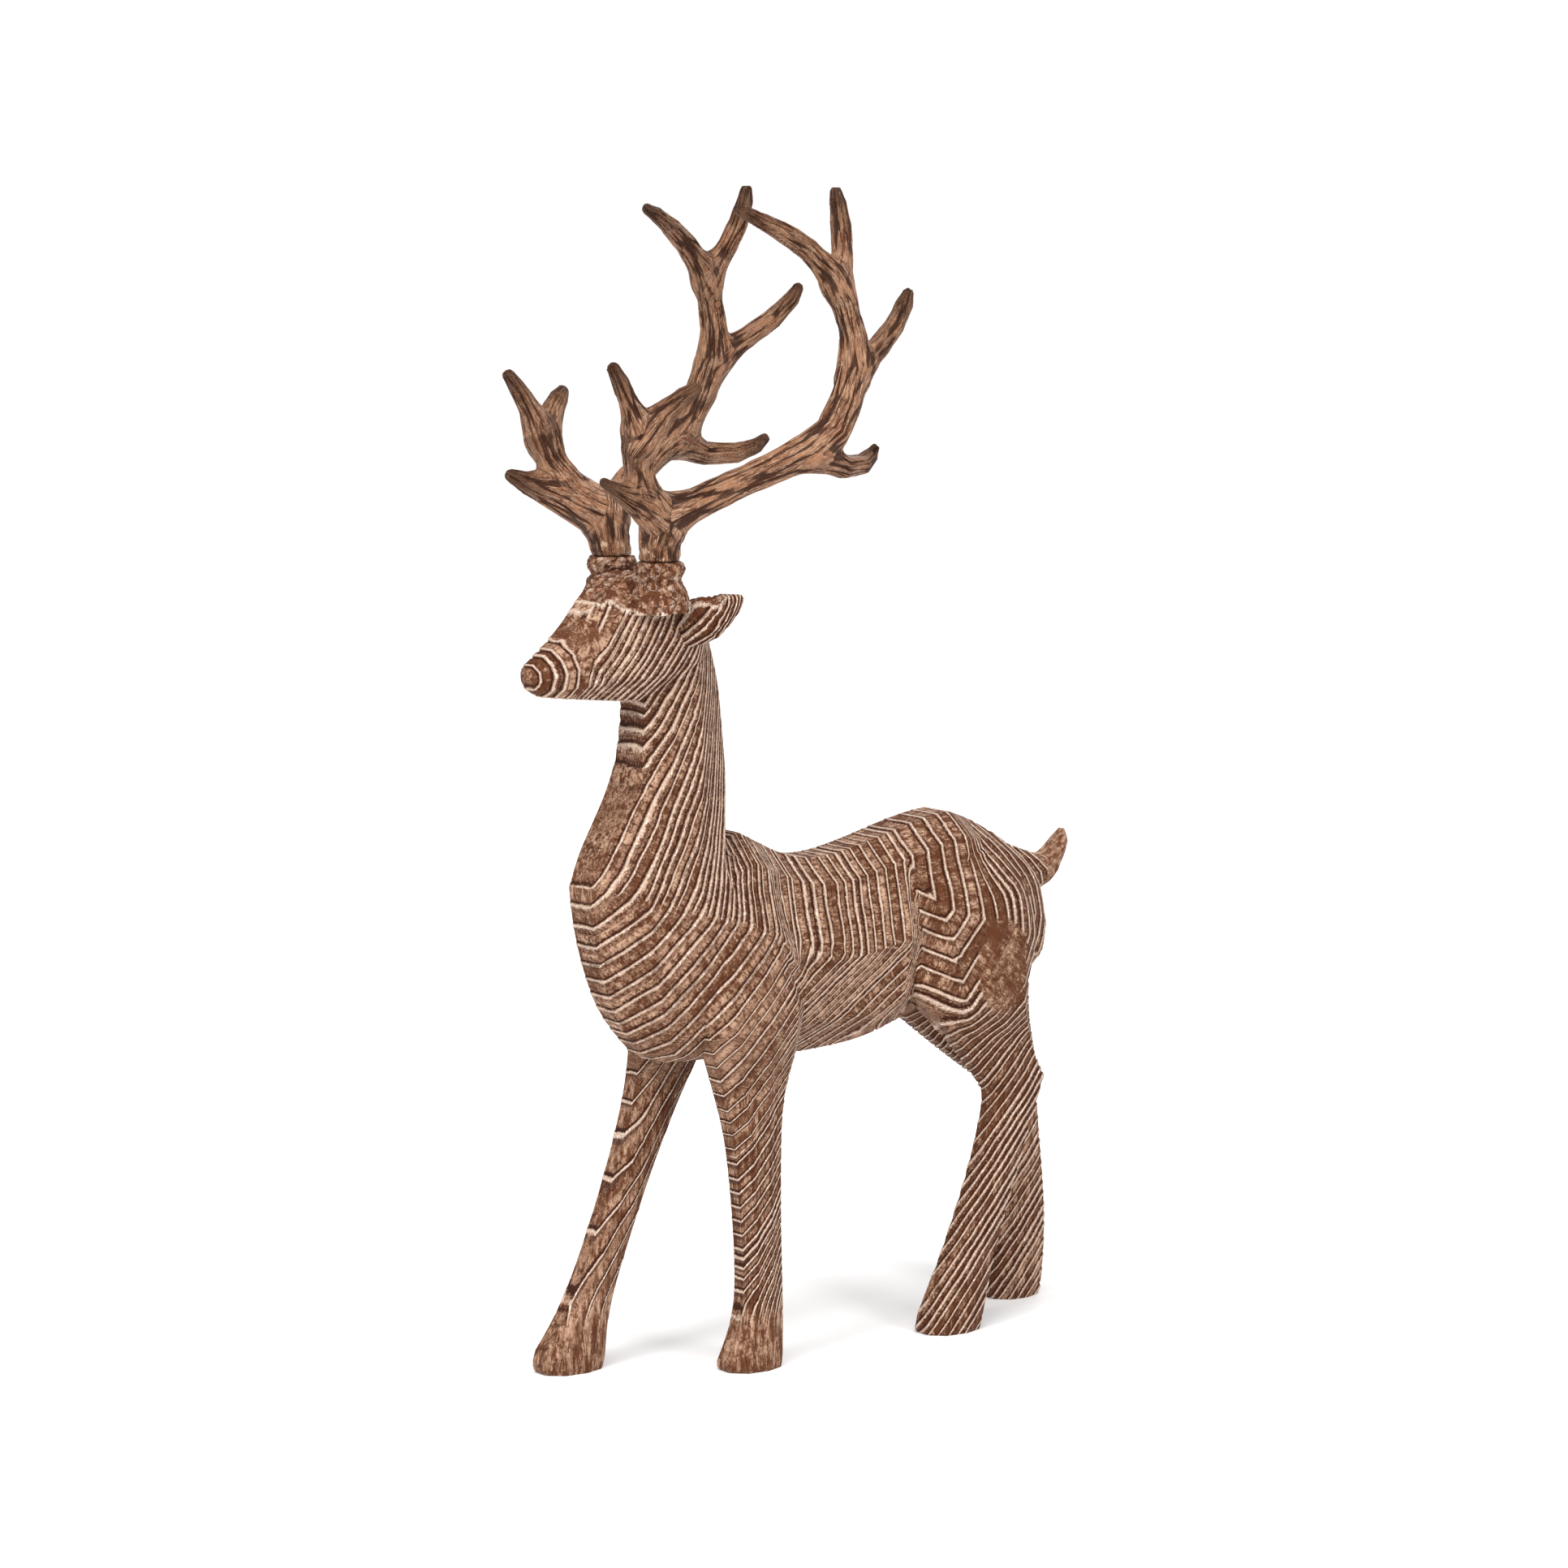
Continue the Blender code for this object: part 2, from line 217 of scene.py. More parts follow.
def addShare(value, share, rest):  # value * share + rest
    return calc("MULTIPLY_ADD", value, share, rest)


def most(first, second):
    return calc("MAXIMUM", first, second)


def ramp(value, fromLow, fromHigh, toLow=0.0, toHigh=1.0):
    node = addNode(value.id_data, "ShaderNodeMapRange", interpolation_type="SMOOTHSTEP")
    value.id_data.links.new(value, node.inputs[0])
    for socket, number in zip(node.inputs[1:5], (fromLow, fromHigh, toLow, toHigh)):
        socket.default_value = number
    return node.outputs[0]


def noiseTexture(vector, scale, detail=3.0):
    node = addNode(vector.id_data, "ShaderNodeTexNoise", Scale=scale, Detail=detail, Roughness=0.6)
    vector.id_data.links.new(vector, node.inputs["Vector"])
    return node.outputs["Fac"]


def newGroup(name, inputs, outputs):
    group = bpy.data.node_groups.new(name, "ShaderNodeTree")
    for label, kind, value in inputs:
        socket = group.interface.new_socket(name=label, in_out="INPUT", socket_type=kind)
        if value is not None:
            socket.default_value = value
    for label, kind in outputs:
        group.interface.new_socket(name=label, in_out="OUTPUT", socket_type=kind)
    return group, addNode(group, "NodeGroupInput"), addNode(group, "NodeGroupOutput")


# Fine fibres and broader bands of tone, drawn out along one direction of the coordinate
def buildFibreStreaks():
    group, given, out = newGroup(
        "fibreStreaks",
        (("Along", "NodeSocketVector", None), ("Fine", "NodeSocketFloat", 1500.0),
         ("Broad", "NodeSocketFloat", 260.0)),
        (("Fibres", "NodeSocketFloat"), ("Bands", "NodeSocketFloat"), ("Veins", "NodeSocketFloat")))
    fine = addNode(group, "ShaderNodeTexNoise", Detail=2.0, Roughness=0.65)
    broad = addNode(group, "ShaderNodeTexNoise", Detail=3.0, Roughness=0.55)
    for node, label in ((fine, "Fine"), (broad, "Broad")):
        group.links.new(given.outputs["Along"], node.inputs["Vector"])
        group.links.new(given.outputs[label], node.inputs["Scale"])
    group.links.new(ramp(fine.outputs["Fac"], 0.36, 0.64), out.inputs["Fibres"])
    group.links.new(ramp(broad.outputs["Fac"], 0.34, 0.66), out.inputs["Bands"])
    middle = calc("ABSOLUTE", calc("SUBTRACT", broad.outputs["Fac"], 0.5))
    group.links.new(ramp(middle, 0.045, 0.005), out.inputs["Veins"])
    return group


# Small pits, crumbs and flecks of a cast surface; the flecks also serve as painted glints
def buildCastPits():
    group, given, out = newGroup(
        "castPits",
        (("Place", "NodeSocketVector", None), ("Size", "NodeSocketFloat", 900.0)),
        (("Height", "NodeSocketFloat"), ("FlecksAndGlints", "NodeSocketFloat"), ("Lumps", "NodeSocketFloat")))
    crumbs = addNode(group, "ShaderNodeTexNoise", Detail=4.0, Roughness=0.7)
    cells = addNode(group, "ShaderNodeTexVoronoi", feature="F1")
    for node in (crumbs, cells):
        group.links.new(given.outputs["Place"], node.inputs["Vector"])
        group.links.new(given.outputs["Size"], node.inputs["Scale"])
    pits = ramp(cells.outputs["Distance"], 0.05, 0.4)
    height = addShare(crumbs.outputs["Fac"], 0.7, times(pits, 0.3))
    group.links.new(height, out.inputs["Height"])
    group.links.new(ramp(crumbs.outputs["Fac"], 0.57, 0.66), out.inputs["FlecksAndGlints"])
    uneven = addShare(crumbs.outputs["Fac"], 0.7, times(cells.outputs["Distance"], -1.0))
    group.links.new(ramp(uneven, -0.32, 0.06), out.inputs["Lumps"])
    return group


fibreStreaks = buildFibreStreaks()
castPits = buildCastPits()


def useGroup(tree, group, **values):
    node = addNode(tree, "ShaderNodeGroup")
    node.node_tree = group
    for name, value in values.items():
        if isinstance(value, bpy.types.NodeSocket):
            tree.links.new(value, node.inputs[name])
        else:
            node.inputs[name].default_value = value
    return node


def startMaterial(name):
    material = bpy.data.materials.new(name)
    material.use_nodes = True
    tree = material.node_tree
    shader = tree.nodes["Principled BSDF"]
    shader.location = (4000, 0)
    tree.nodes["Material Output"].location = (4300, 0)
    return material, tree, shader


def readAttribute(tree, name, output="Fac"):
    return addNode(tree, "ShaderNodeAttribute", attribute_name=name).outputs[output]


deer = {
    "seed": 11,
    "spacing": (10.0, 15.5),  # between neighbouring rings, in counts of part
    "neckSlope": 0.5,
    "pairedShare": 0.22,  # how many rings run close beside the one before
    "pairedGap": 5.6,
    "neckFrom": 45.0,  # from this level on the rings are those of neck and chest
    "headFrom": 330.0,
    "noseFrom": 436.0,
    "sparse": (-285.0, -155.0),  # levels of the haunch's loops, which are bolder and further apart
    # Gaps in these places, then how bold: from and to, or the even and the odd rings.
    "noseRings": ((12.0, 17.0), (1.1, 1.4)),
    "headRings": ((7.0, 10.0), (1.0, 0.7)),
    "neckRings": ((8.5, 11.5), (1.15, 0.75)),
    "loopRings": ((19.0, 25.0), (1.15, 1.5)),
    "rumpRings": ((11.5, 17.0), (1.1, 1.5)),
    "ribTop": 2.3,  # from the bottom of the groove to the top of the rib beside it
    "ribEnd": 4.6,
    "grooveEdge": 1.7,
    "mergedGap": 4.8,
    "grooveDepth": 1.15,
    "ribHeight": 0.85,
    "wobble": 0.5,
    "drawnOut": 0.78,  # how much the grain between two rings is stretched across them
    "longestEdge": 0.0084,
    "barkEdge": 0.0019,
    "barkHeight": 3.0,
    "smoothing": 4,
    "facetAngle": math.radians(13),
    # The field whose level lines are the rings, in the drawing frame's y and z.
    "turningEdge": ((-300, 604), (-100, 549), (-29, 520), (26, 506), (63, 502), (146, 512),
                    (300, 506)),  # y, z
    # How far a ring runs back as it climbs below that edge: y, slope.
    "lowerSlopes": ((-300, 0.86), (-190, 0.92), (-110, 1.12), (-30, 1.3), (150, 1.3), (230, 0.85)),
    "hindLegFrom": (60.0, 110.0),  # y
    "hindSlope": 0.85,
    "hindSlant": 0.727,  # how the rings cross the fronts of the hind legs
    "legMiddle": 60.0,  # x
    "frontHoofRun": (80.0, 30.0, 0.8),  # z, softness and share by which the rings steepen below
    # The throat's front facet starts at this y, and the rings run level across it: z, y.
    "throatEdge": ((590, -400), (600, -300), (620, -298), (640, -289), (660, -278), (690, -258),
                   (720, -242), (750, -230), (780, -226), (825, -225), (845, -400)),
    "barkRim": ((-340, 975), (-285, 951), (-228, 934), (-175, 950), (-140, 962)),  # y, z
    # Smooth places without rings: y, z and half sizes.
    "bare": ((272, 470, 42, 58), (-316, 917, 19, 20)),
    "legGrain": (430.0, 350.0),  # z over which the grain turns to run down the legs
    "soleFrom": (2.0, 16.0),  # z over which the rings come up from the flat soles
    "frontHoof": (38.0, 95.0),  # z below which a front leg has grain but no rings
    "noseTip": (-388.0, 868.0, 15.0),  # y, z and size
    "bendSoftness": 3.0,
    "haunchStart": (136.0, 152.0),  # y over which the flank's pattern gives way to the haunch's loops
    "loopPlanes": ((0.77, -0.63, 389.5), (-0.42, -0.91, 760.0)),  # by y, by z and added: under and in front
    "rumpFan": (232.0, 266.0, 560.0, 0.9),  # from y to y, above z, share
    "haunchFade": (372.0, 432.0),  # z over which the loops give way to the hind leg's slant
    "crease": (-64.0, 0.42, 560.0),  # y, how it runs back below the z that follows
    "creaseCount": 26.0,  # how much pattern is drawn together where shoulder and flank meet
    "noseArcs": (-392.0, 866.0, 70.0, 96.0),  # y, z and the distances between which the arcs give way
    "knot": (252.0, 452.0, 17.0),  # y, z and size of the crumbly spot on the haunch
    "tailFrom": 450.0,  # z above which the rearmost corners are the tail's
    "shownFrom": (0.2, 0.42),  # how fast the level has to change on the skin for its rings to show
    "rim": (1.3, 3.2),  # height and width of the ridge along the bark's rim
    "burr": (51.0, -220.0, 42.0),  # x, y and reach
    "burrFrom": 975.0,  # z
    "burrSwell": ((991.0, 7.0, 1.8), (979.0, 4.5, -1.2)),  # z, width, height
    "burrSeat": (20.5, 27.0),  # radii between which the relief fades towards the antler's foot
    "fineEdges": (0.0036, 0.0062),  # longest edges by the haunch's front and in its loops
    # Paints and stains; the fleck colour is partly white paint and partly painted glints.
    "beige": (0.55, 0.345, 0.232),
    "brown": (0.118, 0.047, 0.021),
    "rib": (0.62, 0.455, 0.355),
    "fleckAndGlint": (0.86, 0.72, 0.62),
    "stain": (0.100, 0.029, 0.010),
    "groove": (0.042, 0.011, 0.004),
    "bark": (0.20, 0.088, 0.046),
}


def smoothStep(low, high, value):
    share = np.clip((value - low) / (high - low), 0.0, 1.0)
    return share * share * (3.0 - 2.0 * share)


# 0 below zero and value above it, with a rounded turn
def bent(value, softness):
    return 0.5 * (value + np.sqrt(value**2 + softness**2))


# Height of the edge at which the upright rings of shoulder and flank turn into slanting ones
def chestEdgeAt(y):
    return np.interp(y, *zip(*deer["turningEdge"]))


def flankRings(y, z, x=deer["legMiddle"]):
    soft = deer["bendSoftness"]
    y = np.maximum(y, np.interp(z, *zip(*deer["throatEdge"])))
    hindLeg = smoothStep(*deer["hindLegFrom"], y) * smoothStep(*deer["legGrain"], z)
    slope = np.interp(y, *zip(*deer["lowerSlopes"]))
    slope += hindLeg * (deer["hindSlope"] - slope)
    climb = np.zeros_like(y)
    for _ in range(10):  # climbs along the ring to where it meets the edge
        climb = bent(chestEdgeAt(y + slope * climb) - z, soft)
    value = y + slope * climb
    value -= deer["neckSlope"] * smoothStep(60.0, 175.0, -y) * bent(z - chestEdgeAt(y), soft)
    hoofZ, softness, share = deer["frontHoofRun"]
    value -= share * slope * bent(hoofZ - z, softness) * smoothStep(60.0, 0.0, y)
    value += deer["hindSlant"] * (x - deer["legMiddle"] * np.sign(x)) * hindLeg
    creaseY, run, creaseZ = deer["crease"]
    crease = creaseY + run * bent(creaseZ - z, 20.0)
    drawnTogether = smoothStep(crease - 8.0, crease + 8.0, y) - smoothStep(-60.0, 60.0, y)
    return value + deer["creaseCount"] * drawnTogether * smoothStep(440.0, 540.0, z)


# Nested loops around the thigh: upright behind, slanting forwards below, and rising again in front
def haunchRings(y, z):
    fromY, toY, fanZ, share = deer["rumpFan"]
    fan = share * smoothStep(fromY, toY, y) * bent(z - fanZ, 10.0)
    under, before = (byY * y + byZ * z + added for byY, byZ, added in deer["loopPlanes"])
    return np.maximum(np.maximum(y + fan, under), before)


def ringField(points):
    x, y, z = points.T
    haunch = smoothStep(*deer["haunchStart"], y) * smoothStep(*deer["haunchFade"], z)
    value = flankRings(y, z, x) * (1.0 - haunch) + haunchRings(y, z) * haunch
    noseY, noseZ, near, far = deer["noseArcs"]
    away = np.hypot(y - noseY, z - noseZ)
    joint = flankRings(np.array([noseY + far]), np.array([noseZ]))[0]
    return -(value + smoothStep(far + 15.0, near, away) * (joint - far + away - value))


# The field's own gradient in the Y-Z plane, per count of part
def fieldSlope(points, step=1.5):
    ahead = np.array((0.0, step, 0.0))
    over = np.array((0.0, 0.0, step))
    return (np.stack((ringField(points + ahead) - ringField(points - ahead),
                      ringField(points + over) - ringField(points - over)), 1) / (2 * step))


# Every ring's rows across its rib and groove: level, height, rib, groove, foot of the rib, number
def ringRows(low, high):
    draw = np.random.default_rng(deer["seed"])
    rows, tones, level, number = [], [], low - 20.0, 0
    while level < high + 30.0:
        bold = draw.uniform(0.75, 1.25)
        gap = draw.uniform(*deer["spacing"])
        place = None
        if level > deer["noseFrom"]:
            place = "noseRings"
        elif level > deer["headFrom"]:
            place = "headRings"
        elif level > deer["neckFrom"]:
            place = "neckRings"
        elif level < deer["sparse"][1]:
            place = "loopRings" if level > deer["sparse"][0] else "rumpRings"
        if place:
            gaps, weights = deer[place]
            gap = draw.uniform(*gaps)
            bold = weights[number % 2] if place in ("headRings", "neckRings") else draw.uniform(*weights)
        elif draw.uniform() < deer["pairedShare"]:
            gap, bold = deer["pairedGap"], 0.62
        level += gap
        ribFoot = level - deer["ribEnd"] * bold
        if rows and ribFoot - rows[-1][0] < deer["mergedGap"]:
            ribFoot = 0.5 * (ribFoot + rows.pop()[0])
        rows.append((ribFoot, 0.1, 0.0, 0.0, 1.0, number))
        rows.append((level - deer["ribTop"] * bold, deer["ribHeight"] * bold, 1.0, 0.0, 0.0, number))
        rows.append((level, -deer["grooveDepth"] * bold, 0.0, 1.0, 0.0, number))
        rows.append((level + deer["grooveEdge"] * bold, 0.0, 0.0, 0.0, 0.0, number))
        tones.append(draw.uniform())
        number += 1
    return np.array(rows), np.array(tones)


# A merged working copy of a CAD node, on its own and active
def copyNode(node, name):
    bpy.ops.object.select_all(action="DESELECT")
    source = frame["nodes"][node]
    piece = bpy.data.objects.new(name, source.data.copy())
    bpy.context.collection.objects.link(piece)
    piece.data.materials.clear()
    piece.select_set(True)
    bpy.context.view_layer.objects.active = piece
    if piece.data.has_custom_normals:
        bpy.ops.mesh.customdata_custom_splitnormals_clear()
    bpy.ops.object.mode_set(mode="EDIT")
    bpy.ops.mesh.select_all(action="SELECT")
    bpy.ops.mesh.remove_doubles(threshold=0.00001)
    bpy.ops.mesh.normals_make_consistent(inside=False)
    bpy.ops.object.mode_set(mode="OBJECT")
    return piece


# How far a corner lies above the rim at which the rings of the face end
def aboveRim(points):
    y, z = points[:, 1], points[:, 2]
    return z - np.interp(y, *zip(*deer["barkRim"])) - 3.0 * np.sin(y / 6.5) + 2.0 * np.sin(y / 3.1)


# 1 on the rough forehead, the burrs and the tip of the nose, 0 on the ringed surface
def barkShare(points):
    y, z = points[:, 1], points[:, 2]
    crown = smoothStep(-1.0, 4.0, aboveRim(points)) * smoothStep(-150.0, -166.0, y)
    noseY, noseZ, size = deer["noseTip"]
    tip = smoothStep(1.25 * size, 0.75 * size, np.hypot(y - noseY, z - noseZ))
    return np.maximum(crown, tip)


# 1 in the smooth places that the rings leave out
def bareShare(points):
    share = smoothStep(398.0, 408.0, points[:, 1]) * (points[:, 2] > deer["tailFrom"])  # the tail's tip
    for y, z, halfY, halfZ in deer["bare"]:
        away = np.hypot((points[:, 1] - y) / halfY, (points[:, 2] - z) / halfZ)
        share = np.maximum(share, smoothStep(1.12, 0.88, away))
    return share


# Where the wash of brown is deeper: haunch, hind legs, ears, nose and the smooth places
def brownShare(points):
    x, y, z = np.abs(points[:, 0]), points[:, 1], points[:, 2]
    rear = smoothStep(130.0, 250.0, y) * smoothStep(395.0, 360.0, y) * 0.75
    ear = smoothStep(64.0, 80.0, x) * smoothStep(-230.0, -215.0, y)
    ear *= smoothStep(870.0, 885.0, z) * smoothStep(985.0, 970.0, z)
    nose = smoothStep(-345.0, -372.0, y) * smoothStep(830.0, 850.0, z)
    tail = smoothStep(390.0, 405.0, y) * (z > deer["tailFrom"])
    cheek = smoothStep(-355.0, -335.0, y) * smoothStep(-225.0, -250.0, y) * smoothStep(800.0, 830.0, z)
    paler = 0.9 * tail + 0.45 * cheek * (1.0 - bareShare(points)) * smoothStep(80.0, 64.0, x)
    smooth = 0.8 * bareShare(points) * (y < 390.0)
    return np.maximum.reduce((rear, 1.7 * ear, nose, smooth)) - paler


def knotShare(points):
    y, z, size = deer["knot"]
    return np.exp(-((np.hypot(points[:, 1] - y, points[:, 2] - z) / size) ** 4))


# Cuts long edges in half until the sheet is fine enough, finer on the forehead and burrs
def splitLongEdges(piece):
    bpy.ops.object.mode_set(mode="EDIT")
    bpy.ops.mesh.select_mode(type="EDGE")
    bpy.ops.mesh.select_all(action="SELECT")
    bpy.ops.mesh.dissolve_limited(angle_limit=math.radians(0.4))
    bpy.ops.mesh.select_all(action="SELECT")
    bpy.ops.mesh.quads_convert_to_tris(quad_method="BEAUTY", ngon_method="BEAUTY")
    for _ in range(7):
        bpy.ops.mesh.select_all(action="DESELECT")
        sheet = bmesh.from_edit_mesh(piece.data)
        sheet.edges.ensure_lookup_table()
        middles = toParts([(edge.verts[0].co + edge.verts[1].co) / 2 for edge in sheet.edges])
        lengths = np.array([edge.calc_length() for edge in sheet.edges])
        nearRim = (np.abs(aboveRim(middles)) < 7.0) & (middles[:, 1] < -155.0)
        bark = np.maximum.reduce((barkShare(middles), knotShare(middles), nearRim))
        y, z = middles[:, 1], middles[:, 2]
        tight = (y > 128) & (y < 162) & (z > 400) & (z < 620)
        loops = (y > 128) & (y < 275) & (z > 425) & (z < 600)
        limit = deer["longestEdge"] + (deer["barkEdge"] - deer["longestEdge"]) * (bark > 0.3)
        tightEdge, loopEdge = deer["fineEdges"]
        limit = np.where(tight, tightEdge, np.where(loops, np.minimum(limit, loopEdge), limit))
        tooLong = lengths > limit
        if not tooLong.any():
            break
        for edge, long in zip(sheet.edges, tooLong):
            edge.select = bool(long)
        sheet.select_flush_mode()
        bmesh.update_edit_mesh(piece.data)
        bpy.ops.mesh.subdivide(number_cuts=1)
        bpy.ops.mesh.select_all(action="SELECT")
        bpy.ops.mesh.quads_convert_to_tris(quad_method="BEAUTY", ngon_method="BEAUTY")
    bpy.ops.object.mode_set(mode="OBJECT")


# Corners, triangles and facet edges of a piece
def readSheet(piece):
    sheet = bmesh.new()
    sheet.from_mesh(piece.data)
    bmesh.ops.triangulate(sheet, faces=[face for face in sheet.faces if len(face.verts) > 3])
    corners = np.array([vert.co for vert in sheet.verts])
    triangles = np.array([[vert.index for vert in face.verts] for face in sheet.faces])
    facets = [(edge.verts[0].index, edge.verts[1].index) for edge in sheet.edges
              if len(edge.link_faces) == 2 and edge.calc_face_angle(0.0) > deer["facetAngle"]]
    sheet.free()
    return corners, triangles, np.array(facets)


def cornerNormals(corners, triangles):
    a, b, c = (corners[triangles[:, i]] for i in range(3))
    across = np.cross(b - a, c - a)
    out = np.zeros_like(corners)
    sides = ((a, b, c, 0), (b, c, a, 1), (c, a, b, 2))
    for here, ahead, behind, column in sides:
        one, two = ahead - here, behind - here
        size = np.linalg.norm(one, axis=1) * np.linalg.norm(two, axis=1)
        cosine = (one * two).sum(1) / np.maximum(size, 1e-12)
        angle = np.arccos(np.clip(cosine, -1, 1))
        unit = across / np.maximum(np.linalg.norm(across, axis=1), 1e-18)[:, None]
        np.add.at(out, triangles[:, column], unit * angle[:, None])
    return out / np.maximum(np.linalg.norm(out, axis=1), 1e-12)[:, None]


def sidesOf(triangles):
    return np.sort(np.vstack((triangles[:, (0, 1)], triangles[:, (1, 2)], triangles[:, (2, 0)])), 1)


# Evens out the steps along the limbs. Facet edges are evened along themselves only
def easeSheet(corners, triangles, facets, held):
    count = len(corners)
    pairs = np.unique(sidesOf(triangles), axis=0)
    degree = np.bincount(facets.ravel(), minlength=count)
    for _ in range(deer["smoothing"]):
        means = []
        for joined in (pairs, facets):
            total, number = np.zeros_like(corners), np.zeros(count)
            for here, there in ((0, 1), (1, 0)):
                np.add.at(total, joined[:, here], corners[joined[:, there]])
                np.add.at(number, joined[:, here], 1)
            means.append(total / np.maximum(number, 1)[:, None])
        free, along = means
        target = np.where((degree == 0)[:, None], free, np.where((degree == 2)[:, None], along, corners))
        target = np.where(held[:, None], corners, target)
        corners = corners + 0.5 * (target - corners)
    return corners


# Cuts every triangle along the rows, with shared corners, and says which new edges lie on facet edges
def cutAlongRings(corners, normals, triangles, facets, level, rows):
    edges, place = np.unique(sidesOf(triangles), axis=0, return_inverse=True)
    place = place.reshape(3, len(triangles)).T
    lowEnd = np.where(level[edges[:, 0]] <= level[edges[:, 1]], edges[:, 0], edges[:, 1])
    highEnd = edges.sum(1) - lowEnd
    first = np.searchsorted(rows, level[lowEnd], "right")
    after = np.searchsorted(rows, level[highEnd], "left")
    count = np.maximum(after - first, 0)
    start = len(corners) + np.concatenate(([0], np.cumsum(count)[:-1]))
    edgeOf = np.repeat(np.arange(len(edges)), count)
    rowOf = first[edgeOf] + np.arange(len(edgeOf)) - (start[edgeOf] - len(corners))
    low, high = lowEnd[edgeOf], highEnd[edgeOf]
    share = ((rows[rowOf] - level[low]) / (level[high] - level[low]))[:, None]
    newCorners = corners[low] + share * (corners[high] - corners[low])
    newNormals = normals[low] + share * (normals[high] - normals[low])
    newNormals /= np.linalg.norm(newNormals, axis=1)[:, None]
    faces = []
    sideOf = {frozenset((0, 1)): 0, frozenset((1, 2)): 1, frozenset((2, 0)): 2}
    orders = np.argsort(level[triangles], axis=1, kind="stable")
    for t in range(len(triangles)):
        tri = triangles[t]
        i, j, k = orders[t]
        a, b, c = int(tri[i]), int(tri[j]), int(tri[k])
        flip = (i, j, k) not in ((0, 1, 2), (1, 2, 0), (2, 0, 1))
        longSide = place[t, sideOf[frozenset((i, k))]]
        lowSide = place[t, sideOf[frozenset((i, j))]]
        highSide = place[t, sideOf[frozenset((j, k))]]
        total = count[longSide]
        if total == 0:
            faces.append((a, b, c) if not flip else (a, c, b))
            continue
        long = [int(start[longSide]) + n for n in range(total)]
        short = [int(start[lowSide]) + n for n in range(count[lowSide])]
        split = len(short)
        short += [int(start[highSide]) + n for n in range(count[highSide])]
        for n in range(total + 1):
            lowLong = long[n - 1] if n else a
            highLong = long[n] if n < total else c
            loop = [lowLong]
            if n:
                loop.append(short[n - 1])
            if n == split:
                loop.append(b)
            if n < total:
                loop.append(short[n])
            loop.append(highLong)
            clean = [corner for corner, last in zip(loop, [None] + loop) if corner != last]
            if flip:
                clean.reverse()
            if len(set(clean)) > 2:
                faces.append(tuple(clean))
    levels = np.concatenate((level, rows[rowOf]))
    creases = set()
    facetPairs = {tuple(pair) for pair in np.sort(facets, 1).tolist()}
    for number, pair in enumerate(edges.tolist()):
        if tuple(pair) in facetPairs:
            chain = [int(lowEnd[number]), *range(int(start[number]), int(start[number] + count[number])),
                     int(highEnd[number])]
            creases.update(zip(chain, chain[1:]))
    return np.vstack((corners, newCorners)), np.vstack((normals, newNormals)), levels, creases, faces


# Rough, crumbly heights between about -1 and 1
def crumble(points, size, seed):
    out = np.empty(len(points))
    for i, point in enumerate(points):
        spot = Vector(point) / size + Vector((seed, 0, 0))
        out[i] = noise.noise(spot) + 0.55 * noise.noise(spot * 2.3) + 0.3 * noise.noise(spot * 5.1)
    return out


def storeNumbers(piece, name, values):
    values = np.ascontiguousarray(values, np.float32)
    kind, key = ("FLOAT", "value") if values.ndim == 1 else ("FLOAT_VECTOR", "vector")
    piece.data.attributes.new(name, kind, "POINT").data.foreach_set(key, values.ravel())


def stayInside(corners, low, high):
    return np.clip(corners, low, high)


def pointsAlong(edges, corners):
    one, two = corners[edges[:, 0]], corners[edges[:, 1]]
    return np.concatenate([one * (1 - share) + two * share for share in (0.0, 0.25, 0.5, 0.75)])


def fromBurr(spots):
    x, y, _ = deer["burr"]
    return np.hypot(np.abs(spots[:, 0]) - x, spots[:, 1] - y)


